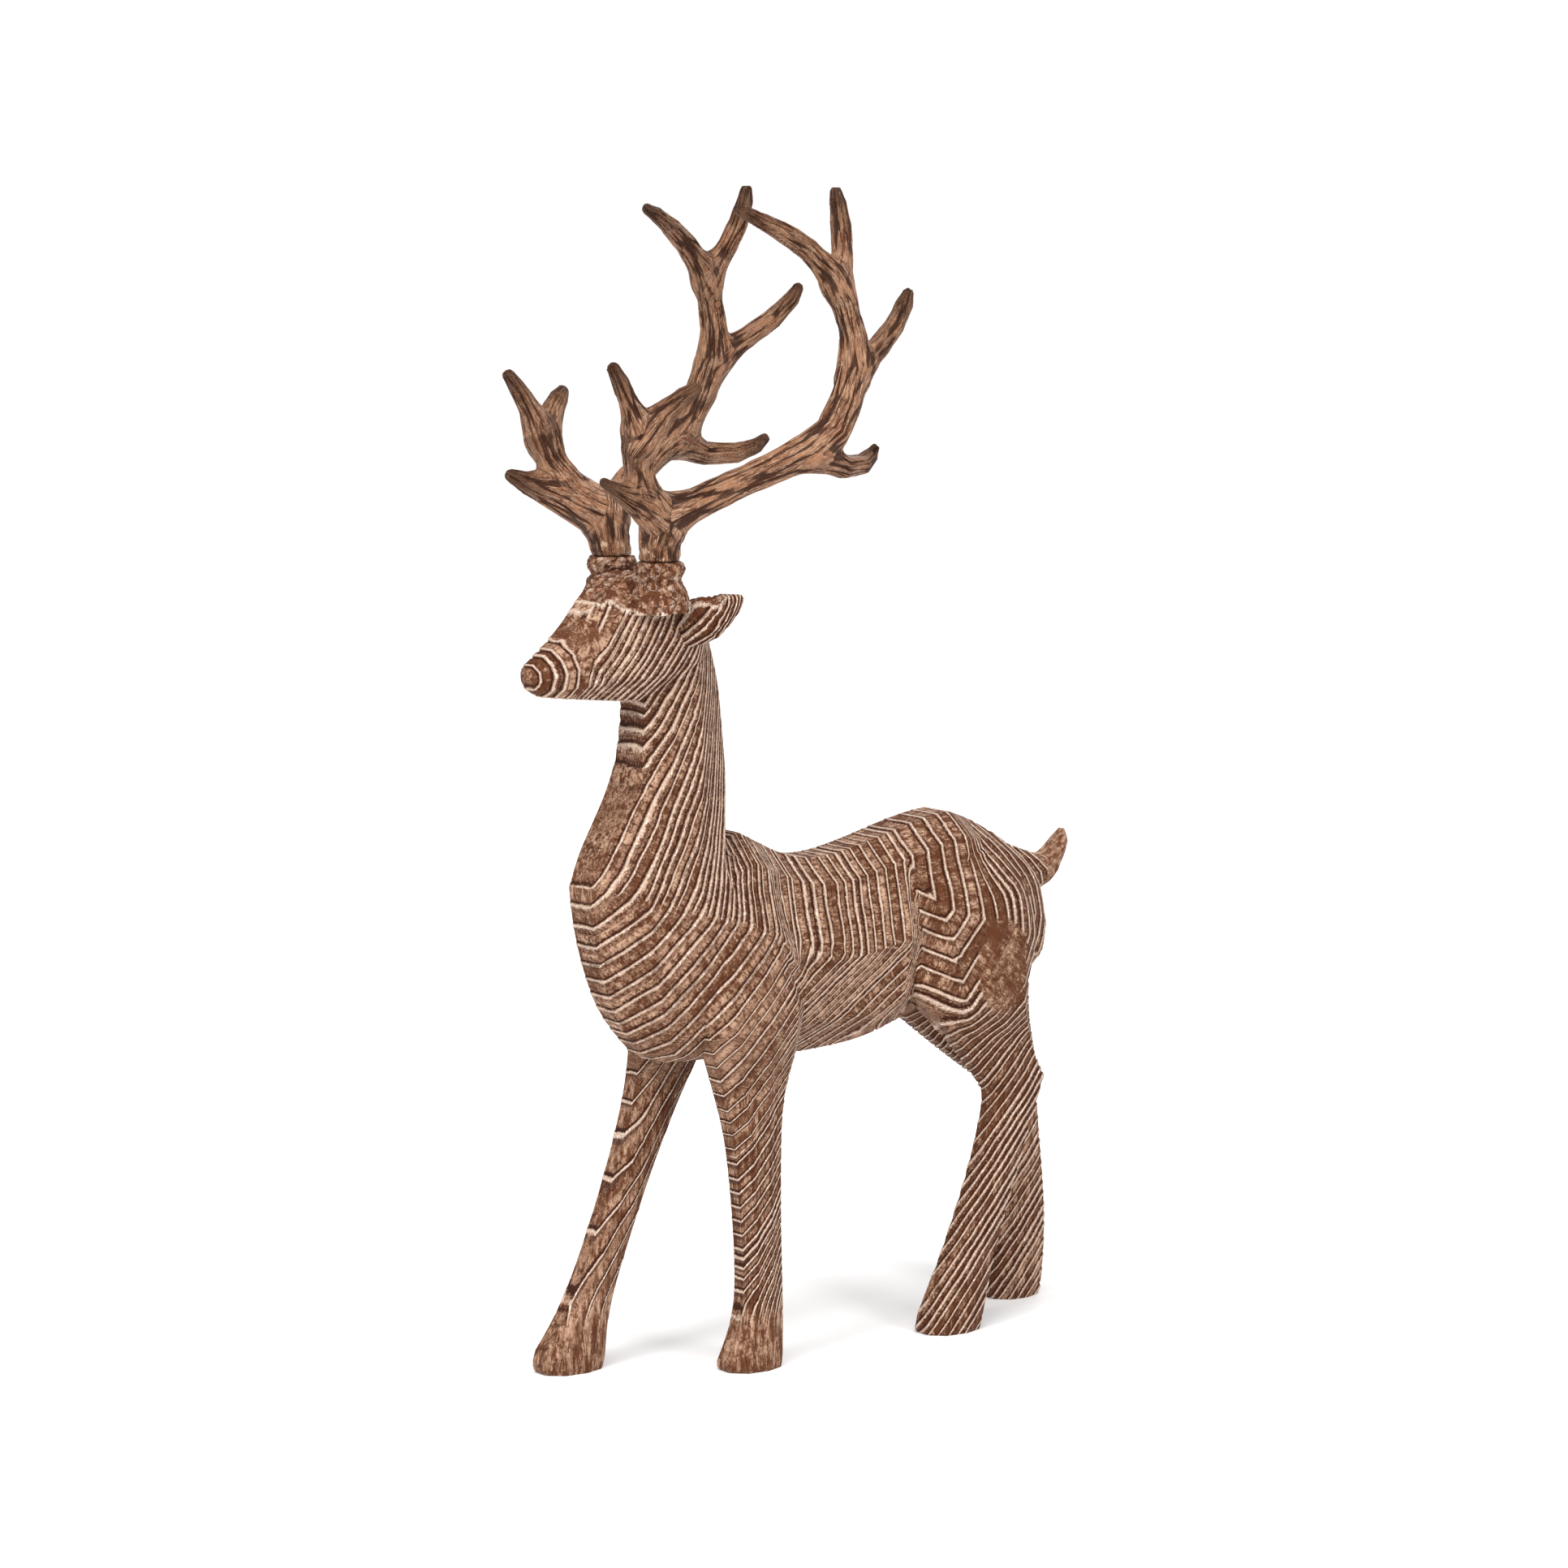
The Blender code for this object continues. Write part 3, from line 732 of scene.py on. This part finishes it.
def makeBody(material):
    piece = copyNode("deer_body", "carvedBody")
    splitLongEdges(piece)
    corners, triangles, facets = readSheet(piece)
    spots = toParts(corners)
    held = ((fromBurr(spots) < 30.0) & (spots[:, 2] > deer["burrFrom"])) | (spots[:, 2] < 1.0)
    corners = easeSheet(corners, triangles, facets, held)
    spots = toParts(corners)
    normals = cornerNormals(corners, triangles)
    print("  sheet:", len(corners), "corners,", len(triangles), "triangles")

    wander = [noise.noise(Vector(spot) / 34.0) * 4.0 + noise.noise(Vector(spot) / 9.0) for spot in spots]
    level = ringField(spots) + deer["wobble"] * np.array(wander)
    rows, tones = ringRows(level.min(), level.max())
    flatCorners = corners
    cut = cutAlongRings(corners, normals, triangles, facets, level, rows[:, 0])
    corners, normals, level, creases, faces = cut
    spots = toParts(corners)
    print("  rings cut:", len(corners), "corners,", len(faces), "faces")

    # Every other ring of the neck ends at the chest's edge.
    ringOf = rows[np.clip(np.searchsorted(rows[:, 0], level), 0, len(rows) - 1), 5]
    chestEdge = chestEdgeAt(spots[:, 1])
    front = smoothStep(-58.0, -78.0, spots[:, 1])
    front *= smoothStep(chestEdge + 10.0, chestEdge - 4.0, spots[:, 2])
    slope = fieldSlope(spots)
    steep = np.linalg.norm(slope, axis=1)
    outwards = (normals[:, 1:] * slope).sum(1)
    onSkin = np.sqrt(np.maximum(steep**2 - outwards**2, 0.0))  # how fast the level changes on the skin
    bark, knot, bare = barkShare(spots), knotShare(spots), bareShare(spots)
    front *= smoothStep(-150.0, -130.0, level)
    hoof = smoothStep(*deer["frontHoof"], spots[:, 2]) + smoothStep(-20.0, 20.0, spots[:, 1])
    shown = (1.0 - front * (ringOf % 2)) * smoothStep(*deer["shownFrom"], onSkin)
    shown *= (1.0 - bare) * np.minimum(hoof, 1.0)

    def across(column):
        return np.interp(level, rows[:, 0], rows[:, column]) * shown

    sole = smoothStep(*deer["soleFrom"], spots[:, 2])
    strength = np.clip(1.25 / np.maximum(steep, 0.3), 0.25, 1.1) * (1.0 - np.maximum(bark, knot)) * sole
    height = across(1) * strength
    crumbs = crumble(spots, 11.0, 3.0)
    rough = crumbs * np.maximum(bark, 0.8 * knot) * deer["barkHeight"]
    rimHeight, rimWidth = deer["rim"]
    rim = np.exp(-((aboveRim(spots) / rimWidth) ** 2)) * smoothStep(-150.0, -166.0, spots[:, 1])
    rough += rimHeight * rim
    burr = (fromBurr(spots) < deer["burr"][2]) * (1.0 - np.abs(normals[:, 2]))
    for z, width, swell in deer["burrSwell"]:
        rough += burr * swell * np.exp(-(((spots[:, 2] - z) / width) ** 2))
    seat = np.where(spots[:, 2] > deer["burrFrom"], smoothStep(*deer["burrSeat"], fromBurr(spots)), 1.0)
    low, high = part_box("deer_body")
    corners = stayInside(corners + normals * ((height + rough * seat) * part)[:, None], low, high)

    mesh = bpy.data.meshes.new("carvedBody")
    mesh.from_pydata(corners.tolist(), [], faces)
    mesh.validate()
    old, piece.data = piece.data, mesh
    bpy.data.meshes.remove(old)

    # What the finish follows: rib and groove, each ring's own tone, the fibres across it, the facet edges.
    bottoms = rows[rows[:, 3] == 1.0, 0]
    ringNumber = np.clip(np.searchsorted(bottoms, level, "right"), 0, len(bottoms) - 1)
    base = bottoms[np.maximum(ringNumber - 1, 0)]
    offset = np.clip(level - base, 0.0, 26.0)
    foot = spots.copy()
    pull = offset / np.maximum(steep**2, 0.12)
    foot[:, 1] -= deer["drawnOut"] * pull * slope[:, 0]
    foot[:, 2] -= deer["drawnOut"] * pull * slope[:, 1]
    leg = smoothStep(*deer["legGrain"], spots[:, 2])[:, None]
    foot = foot * (1.0 - leg) + spots * np.array((1.0, 1.0, 0.10)) * leg
    source = toParts(pointsAlong(facets, flatCorners))
    tree = kdtree.KDTree(len(source))
    for i, spot in enumerate(source):
        tree.insert(spot, i)
    tree.balance()
    gap = np.array([tree.find(spot)[2] for spot in spots])
    bolder = 1.0 + 0.4 * leg[:, 0] * smoothStep(60.0, 20.0, spots[:, 1])  # on the front legs
    bolder *= 1.0 - bark
    stored = {"rib": np.maximum(across(2) * bolder, rim), "groove": across(3) * bolder,
              "ribFoot": across(4) * bolder, "tone": tones[ringNumber], "bark": bark, "crumb": crumbs,
              "brownWash": brownShare(spots), "facetGap": gap, "fibre": foot * part, "beyondRib": offset}
    for name, values in stored.items():
        storeNumbers(piece, name, values)
    mesh.materials.append(material)
    piece.select_set(True)
    bpy.context.view_layer.objects.active = piece
    bpy.ops.object.shade_smooth()
    ends = [tuple(edge.vertices) for edge in mesh.edges]
    sharp = [pair in creases or pair[::-1] in creases for pair in ends]
    mesh.attributes.new("sharp_edge", "BOOLEAN", "EDGE").data.foreach_set("value", sharp)
    mesh.update()
    triangleCount = sum(len(face.vertices) - 2 for face in mesh.polygons)
    print("  carved body:", triangleCount, "triangles,", sum(sharp), "crisp edges")
    return piece


def makeResin():
    material, tree, shader = startMaterial("ringedResin")
    place = addNode(tree, "ShaderNodeTexCoord").outputs["Object"]
    fibre = readAttribute(tree, "fibre", "Vector")
    rib, groove, ribFoot, beyond, tone, bark, crumb, wash, gap = (readAttribute(tree, name) for name in (
        "rib", "groove", "ribFoot", "beyondRib", "tone", "bark", "crumb", "brownWash", "facetGap"))
    streaks = useGroup(tree, fibreStreaks, Along=fibre, Fine=1500.0, Broad=520.0)
    pits = useGroup(tree, castPits, Place=place, Size=1100.0)
    cloud = noiseTexture(place, 55.0)
    patches = noiseTexture(place, 190.0)
    beads = ramp(noiseTexture(place, 850.0, 2.0), 0.38, 0.62)
    specks = noiseTexture(place, 1000.0, 2.0)
    chunks = useGroup(tree, castPits, Place=place, Size=330.0)

    # The wash between the ribs: fibres and bands across them, each strip's own tone, larger clouds.
    fibres, bands = streaks.outputs["Fibres"], streaks.outputs["Bands"]
    shade = addShare(bands, 0.42, times(fibres, 0.50))
    shade = addShare(ramp(patches, 0.36, 0.64), 0.14, shade)
    shade = addShare(tone, 0.44, shade)
    shade = addShare(ramp(cloud, 0.35, 0.68), 0.26, shade)
    shade = addShare(wash, 0.30, shade)
    shade = addShare(ramp(specks, 0.38, 0.62), 0.30, shade)
    ground = mixColour(ramp(shade, 0.62, 1.42), deer["beige"], deer["brown"])

    # Dark stain at the facet edges, in blots and pooled behind the ribs.
    nearFacet = ramp(gap, 13.0, 0.5)
    atFacet = times(nearFacet, addShare(bands, 0.9, 0.2))
    blot = times(patches, addShare(bands, 0.55, 0.62))
    blot = times(ramp(blot, 0.44, 0.62), 0.85)
    pooled = addShare(fibres, -3.5, beyond)
    pooled = times(ramp(pooled, 4.5, -0.5), ramp(wash, -0.5, -0.1, 0.15, 0.6))
    strokes = times(ramp(fibres, 0.34, 0.04), ramp(patches, 0.38, 0.54))
    stainShare = most(most(blot, pooled), times(atFacet, 0.8))
    stainShare = most(stainShare, times(strokes, 0.8))
    stained = mixColour(stainShare, ground, deer["stain"])

    ribShare = ramp(addShare(beads, 0.36, rib), 0.50, 0.98)
    ribbed = mixColour(times(ribShare, 0.9), stained, deer["rib"])
    # Pale flecks on the ribs: partly dry-brushed white paint, partly painted glints that stand in for the
    # surface's sparkle.
    fleckAndGlintShare = times(ramp(specks, 0.57, 0.63), ribShare)
    fleckedAndGlinting = mixColour(fleckAndGlintShare, ribbed, deer["fleckAndGlint"])

    # Forehead, burrs and nose: brown lumps, dark cracks between them and pale winding ridges.
    lumps = chunks.outputs["Lumps"]
    windings = calc("ABSOLUTE", calc("SUBTRACT", noiseTexture(place, 210.0), 0.5))
    windings = addShare(specks, 0.07, windings)
    barkTone = mixColour(ramp(specks, 0.45, 0.72), deer["bark"], deer["beige"])
    cracked = ramp(addShare(crumb, 0.9, lumps), 0.72, 0.18)
    barkTone = mixColour(times(cracked, 0.92), barkTone, deer["stain"])
    winding = times(ramp(windings, 0.085, 0.030), ramp(patches, 0.46, 0.58))
    paleTop = most(winding, ramp(crumb, 0.26, 0.60))
    barkTone = mixColour(times(paleTop, 0.65), barkTone, deer["rib"])
    # Whitish flecks on the pale tops: partly paint, partly painted glints.
    whitish = times(paleTop, pits.outputs["FlecksAndGlints"])
    barkTone = mixColour(whitish, barkTone, deer["fleckAndGlint"])
    barkOnly = calc("SUBTRACT", bark, ribShare, clamp=True)
    mixed = mixColour(barkOnly, fleckedAndGlinting, barkTone)

    # Dark lines: the groove behind each rib, a finer one before it and one more on the strip itself.
    grooveShare = ramp(addShare(beads, 0.48, groove), 0.58, 1.02)
    footLine = ramp(addShare(beads, 0.30, ribFoot), 0.86, 1.16)
    besides = addShare(specks, 3.2, beyond)
    thin = times(ramp(besides, 6.2, 6.9), ramp(besides, 8.0, 7.3))
    thin = times(thin, ramp(patches, 0.47, 0.55))
    fine = most(times(footLine, 0.75), times(thin, 0.7))
    dark = most(grooveShare, fine)
    final = mixColour(dark, mixed, deer["groove"])
    tree.links.new(final, shader.inputs["Base Color"])

    tree.links.new(addShare(shade, 0.14, 0.50), shader.inputs["Roughness"])
    shader.inputs["Specular IOR Level"].default_value = 0.12
    relief = addShare(fibres, -0.45, pits.outputs["Height"])
    relief = addShare(times(ribShare, beads), 0.9, relief)
    relief = addShare(dark, -0.9, relief)
    relief = addShare(times(bark, calc("ADD", lumps, paleTop)), 2.4, relief)
    bump = addNode(tree, "ShaderNodeBump", Strength=0.6, Distance=0.00045)
    tree.links.new(relief, bump.inputs["Height"])
    tree.links.new(bump.outputs["Normal"], shader.inputs["Normal"])
    return material


body = makeBody(makeResin())
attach(body, "root")
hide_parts("deer_body")
print("body is carved")


antler = {
    "voxel": 0.00055,
    "smoothing": 5,
    "web": 24.0,  # reach of the round webs in the forks
    "webTurns": 4,
    "blend": 18.0,  # over which the grain of one limb passes into that of the next
    "fluteDepth": 1.9,
    "lump": 0.8,
    "fluteCount": 2.4,
    "fluteLength": 75.0,
    "drawnOut": 0.24,  # the fine grain's own stretch along the limbs
    "burrTop": 1000.0,  # z
    "seatFrom": (1002.0, 1008.0),  # z over which the relief begins
    "webFrom": (1003.0, 1010.0),
    "crumbFoot": (1040.0, 1012.0, 1.3),  # z over which the foot is crumbly, and how high the crumbs are
    "pinMark": (-124.4, -9.7, 1294.9),
    "rightForkShares": (1.0, 1.05, 0.91, 1.0),
    "rightLowerShares": (1.1, 1.04, 0.96, 1.4),
    "browRoot": (62, -224, 1046, 0),
    "light": (0.385, 0.18, 0.092),
    "brown": (0.105, 0.031, 0.011),
    "dark": (0.034, 0.009, 0.003),
    "pale": (0.66, 0.44, 0.30),
}

# Middle lines of the left antler, in the drawing frame. Each row: x, y, z, radius.
beamLine = (
    (51, -220, 990, 22), (51, -220, 1000, 25), (53, -222, 1026, 24), (64, -218, 1056, 26),
    (80, -188, 1069, 20), (103, -154, 1089, 18.5), (125, -112, 1109, 19), (143, -69, 1131, 20.5),
    (152, -38, 1154, 21), (150, -18, 1187, 20), (147, -4, 1226, 19), (144, -3, 1264, 16.5),
    (140, -12, 1304, 15.5), (134, -29, 1340, 15), (126, -56, 1368, 14), (114, -87, 1390, 12),
    (103, -118, 1407, 9), (98, -134, 1414, 6.5),
)
tineLines = (
    ((144, -56, 1123, 17), (144, -18, 1110, 14.5), (130, 20, 1110, 12.5), (118, 43, 1119, 9.5),
     (114, 52, 1127, 6.5)),
    ((145, 2, 1221, 15), (140, 36, 1248, 13.5), (125, 73, 1275, 12.5), (116, 95, 1299, 10),
     (113, 103, 1313, 7)),
    ((134, -18, 1326, 14), (122, -2, 1360, 13), (106, 7, 1394, 12.5), (96, 10, 1421, 10.5),
     (92, 10, 1435, 7.5)),
)
browLines = (
    ((62, -222, 1046, 21), (75, -258, 1086, 18), (90, -278, 1124, 17), (102, -283, 1156, 17),
     (104, -282, 1166, 13)),
    ((102, -281, 1148, 16), (105, -297, 1188, 13), (107, -313, 1218, 10), (108, -323, 1234, 8)),
    ((104, -281, 1146, 17), (118, -260, 1180, 15), (132, -242, 1199, 12), (140, -231, 1209, 8)),
)
lowerBrowLine = ((68, -236, 1056, 19), (82, -275, 1076, 15), (90, -305, 1089, 10.5), (95, -328, 1101, 6))


def drawnOut(rows, shares):
    root = antler["browRoot"]
    return [[start + (value - start) * share for value, start, share in zip(row, root, shares)]
            for row in rows]


def antlerLines(side):
    fork, lower = browLines, lowerBrowLine
    if side < 0:
        fork = [drawnOut(rows, antler["rightForkShares"]) for rows in browLines]
        lower = drawnOut(lowerBrowLine, antler["rightLowerShares"])
    return [np.array(rows, float) * (side, 1.0, 1.0, 1.0) for rows in (beamLine, *tineLines, *fork, lower)]


# How far every corner lies outside each limb's own skin
def limbGaps(spots, lines):
    gaps = np.full((len(lines), len(spots)), 1e9)
    for number, rows in enumerate(lines):
        for a, b in zip(rows, rows[1:]):
            axis = b[:3] - a[:3]
            share = np.clip((spots - a[:3]) @ axis / (axis @ axis), 0.0, 1.0)
            middle = a[:3] + share[:, None] * axis
            radius = a[3] + share * (b[3] - a[3])
            gaps[number] = np.minimum(gaps[number], np.linalg.norm(spots - middle, axis=1) - radius)
    return gaps


# The gap to all limbs together, with the crotches between them filled to a round web
def webbedGap(spots, lines):
    nearest = np.sort(limbGaps(spots, lines), axis=0)
    close = np.maximum(antler["web"] - (nearest[1] - nearest[0]), 0.0) / antler["web"]
    return nearest[0] - close**2 * antler["web"] / 4.0


# Angle around one limb, length along it and what is left of it to the tip
def alongLimb(spots, rows):
    lengths = np.linalg.norm(np.diff(rows[:, :3], axis=0), axis=1)
    starts = np.concatenate(([0.0], np.cumsum(lengths)))
    best = np.full(len(spots), 1e9)
    around, along = np.zeros(len(spots)), np.zeros(len(spots))
    one = np.array((0.3, -1.0, 0.05))
    for i, length in enumerate(lengths):
        a, axis = rows[i, :3], (rows[i + 1, :3] - rows[i, :3]) / length
        one = one - axis * (one @ axis)
        one /= np.linalg.norm(one)
        two = np.cross(axis, one)
        share = np.clip((spots - a) @ axis, 0.0, length)
        out = spots - a - share[:, None] * axis
        reach = np.linalg.norm(out, axis=1)
        better = reach < best
        best[better] = reach[better]
        around[better] = np.arctan2(out[better] @ two, out[better] @ one)
        along[better] = starts[i] + share[better]
    return around, along, starts[-1] - along


# Coordinates that run along the limb picked for every corner, and the length left to its tip
def limbFlow(spots, lines, number):
    flow, toTip = np.zeros((len(spots), 3)), np.zeros(len(spots))
    for i, rows in enumerate(lines):
        mine = number == i
        if mine.any():
            around, along, left = alongLimb(spots[mine], rows)
            onward = (along + 400.0 * i) / antler["fluteLength"]
            flow[mine] = np.stack((np.cos(around), np.sin(around), onward), 1)
            toTip[mine] = left
    return flow, toTip


def readVectors(data, name):
    values = np.empty(len(data) * 3, np.float32)
    data.foreach_get(name, values)
    return values.reshape(-1, 3)


def moveCorners(piece, corners):
    piece.data.vertices.foreach_set("co", corners.astype(np.float32).ravel())
    piece.data.update()


def makeAntler(node, name, side, material):
    piece = copyNode(node, name)
    remesh = piece.modifiers.new("remesh", "REMESH")
    remesh.mode = "VOXEL"
    remesh.voxel_size = antler["voxel"]
    bpy.ops.object.modifier_apply(modifier=remesh.name)
    lines = antlerLines(side)
    for _ in range(antler["webTurns"]):
        soften = piece.modifiers.new("soften", "SMOOTH")
        soften.factor = 0.5
        soften.iterations = antler["smoothing"]
        bpy.ops.object.modifier_apply(modifier=soften.name)
        corners = readVectors(piece.data.vertices, "co").astype(float)
        normals = readVectors(piece.data.vertex_normals, "vector")
        spots = toParts(corners)
        above = smoothStep(*antler["webFrom"], spots[:, 2])
        push = np.clip(-webbedGap(spots, lines), -4.0, 4.0) * above
        corners = corners + normals * (0.8 * push * part)[:, None]
        moveCorners(piece, corners)
    normals = readVectors(piece.data.vertex_normals, "vector")
    spots = toParts(corners)

    gaps = limbGaps(spots, lines)
    order = np.argsort(gaps, axis=0)
    apart = np.take_along_axis(gaps, order, 0)
    share = 0.5 * smoothStep(antler["blend"], 0.0, apart[1] - apart[0])
    share *= smoothStep(0.0, 6.0, apart[2] - apart[1])
    flow, toTip = limbFlow(spots, lines, order[0])
    otherFlow, otherTip = limbFlow(spots, lines, order[1])
    toTip += share * (otherTip - toTip)

    def ridges(given, i):
        across = given[i, :2] * antler["fluteCount"]
        spot = Vector((*across, given[i, 2] + side * 7.0))
        deep, fine = noise.noise(spot), noise.noise(spot * 2.1 + Vector((9.0, 0.0, 3.0)))
        return 0.9 * fine - antler["fluteDepth"] * max(0.0, 1.0 - abs(deep) * 5.0)

    heights = np.empty(len(spots))
    for i in range(len(spots)):
        heights[i] = ridges(flow, i)
        if share[i] > 0.01:
            heights[i] += share[i] * (ridges(otherFlow, i) - heights[i])
        heights[i] += antler["lump"] * noise.noise(Vector(spots[i]) / 16.0)
    crumbs = crumble(spots, 9.0, 5.0)
    *footZ, crumbHeight = antler["crumbFoot"]
    nearFoot = smoothStep(*footZ, spots[:, 2])
    seat = smoothStep(*antler["seatFrom"], spots[:, 2])
    relief = (heights + crumbHeight * nearFoot * crumbs) * seat * part
    low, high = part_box(node)
    moveCorners(piece, stayInside(corners + normals * relief[:, None], low, high))
    stretch = 0.006 * np.array((1.0, 1.0, antler["drawnOut"]))
    stored = {"flow": flow * stretch, "otherFlow": otherFlow * stretch, "otherShare": share,
              "height": heights, "crumb": crumbs * nearFoot, "toTip": toTip,
              "aboveBurr": spots[:, 2] - antler["burrTop"] + 2.0 * crumbs,
              "pinMark": np.linalg.norm(spots - np.array(antler["pinMark"]), axis=1)}
    for label, values in stored.items():
        storeNumbers(piece, label, values)
    piece.data.materials.append(material)
    bpy.ops.object.shade_smooth()
    print("  ", name, len(spots), "corners")
    return piece


def makeAntlerPlastic():
    material, tree, shader = startMaterial("antlerPlastic")
    place = addNode(tree, "ShaderNodeTexCoord").outputs["Object"]
    otherShare, height, toTip, aboveBurr, crumb, pinMark = (readAttribute(tree, name) for name in (
        "otherShare", "height", "toTip", "aboveBurr", "crumb", "pinMark"))
    pits = useGroup(tree, castPits, Place=place, Size=800.0)
    cloud = noiseTexture(place, 90.0)
    specks = noiseTexture(place, 700.0)
    own, other = (useGroup(tree, fibreStreaks, Along=readAttribute(tree, name, "Vector"),
                           Fine=3600.0, Broad=1500.0) for name in ("flow", "otherFlow"))

    def both(name):
        gap = calc("SUBTRACT", other.outputs[name], own.outputs[name])
        return addShare(gap, otherShare, own.outputs[name])

    fibres, bands, veins = both("Fibres"), both("Bands"), both("Veins")
    light = addShare(bands, 0.24, times(fibres, 0.34))
    light = addShare(ramp(cloud, 0.35, 0.65), 0.38, light)
    light = addShare(height, 0.14, light)
    light = addShare(specks, 0.5, light)
    ground = mixColour(ramp(light, 0.40, 1.04), antler["brown"], antler["light"])
    veined = mixColour(times(veins, 0.8), ground, antler["pale"])
    # Painted glints: pale flecks along the bands stand in for small highlights, and with the pale crumbs
    # they lighten the colour.
    glints = times(pits.outputs["FlecksAndGlints"], ramp(bands, 0.2, 0.7))
    paleShare = most(times(glints, 0.55), ramp(crumb, 0.2, 0.55))
    crumbly = mixColour(paleShare, veined, antler["pale"])
    hollow = ramp(height, -0.35, -1.2)
    cracks = times(ramp(fibres, 0.30, 0.0), ramp(bands, 0.5, 0.2))
    tip = times(ramp(toTip, 60.0, 4.0), 0.6)
    seam = times(ramp(aboveBurr, 4.5, 1.5), 0.5)
    under = times(ramp(crumb, -0.15, -0.5), 0.6)
    dark = most(times(hollow, 0.85), most(tip, seam))
    dark = most(dark, most(times(cracks, 0.6), under))
    washed = mixColour(dark, crumbly, antler["dark"])
    disc = times(ramp(pinMark, 5.0, 4.3), 0.75)
    marked = mixColour(disc, washed, antler["light"])
    rim = times(ramp(pinMark, 4.2, 5.0), ramp(pinMark, 6.6, 5.6))
    final = mixColour(times(rim, 0.7), marked, antler["dark"])
    tree.links.new(final, shader.inputs["Base Color"])
    tree.links.new(addShare(fibres, 0.16, 0.38), shader.inputs["Roughness"])
    shader.inputs["Specular IOR Level"].default_value = 0.16
    relief = addShare(fibres, 0.6, pits.outputs["Height"])
    relief = addShare(veins, 0.5, relief)
    bump = addNode(tree, "ShaderNodeBump", Strength=0.85, Distance=0.0005)
    tree.links.new(relief, bump.inputs["Height"])
    tree.links.new(bump.outputs["Normal"], shader.inputs["Normal"])
    return material


antlerPlastic = makeAntlerPlastic()
for node, name, side in (("left_antler", "leftAntler", 1), ("right_antler", "rightAntler", -1)):
    made = makeAntler(node, name, side, antlerPlastic)
    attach(made, "root")
    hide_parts(node)
print("antlers are in their burrs")
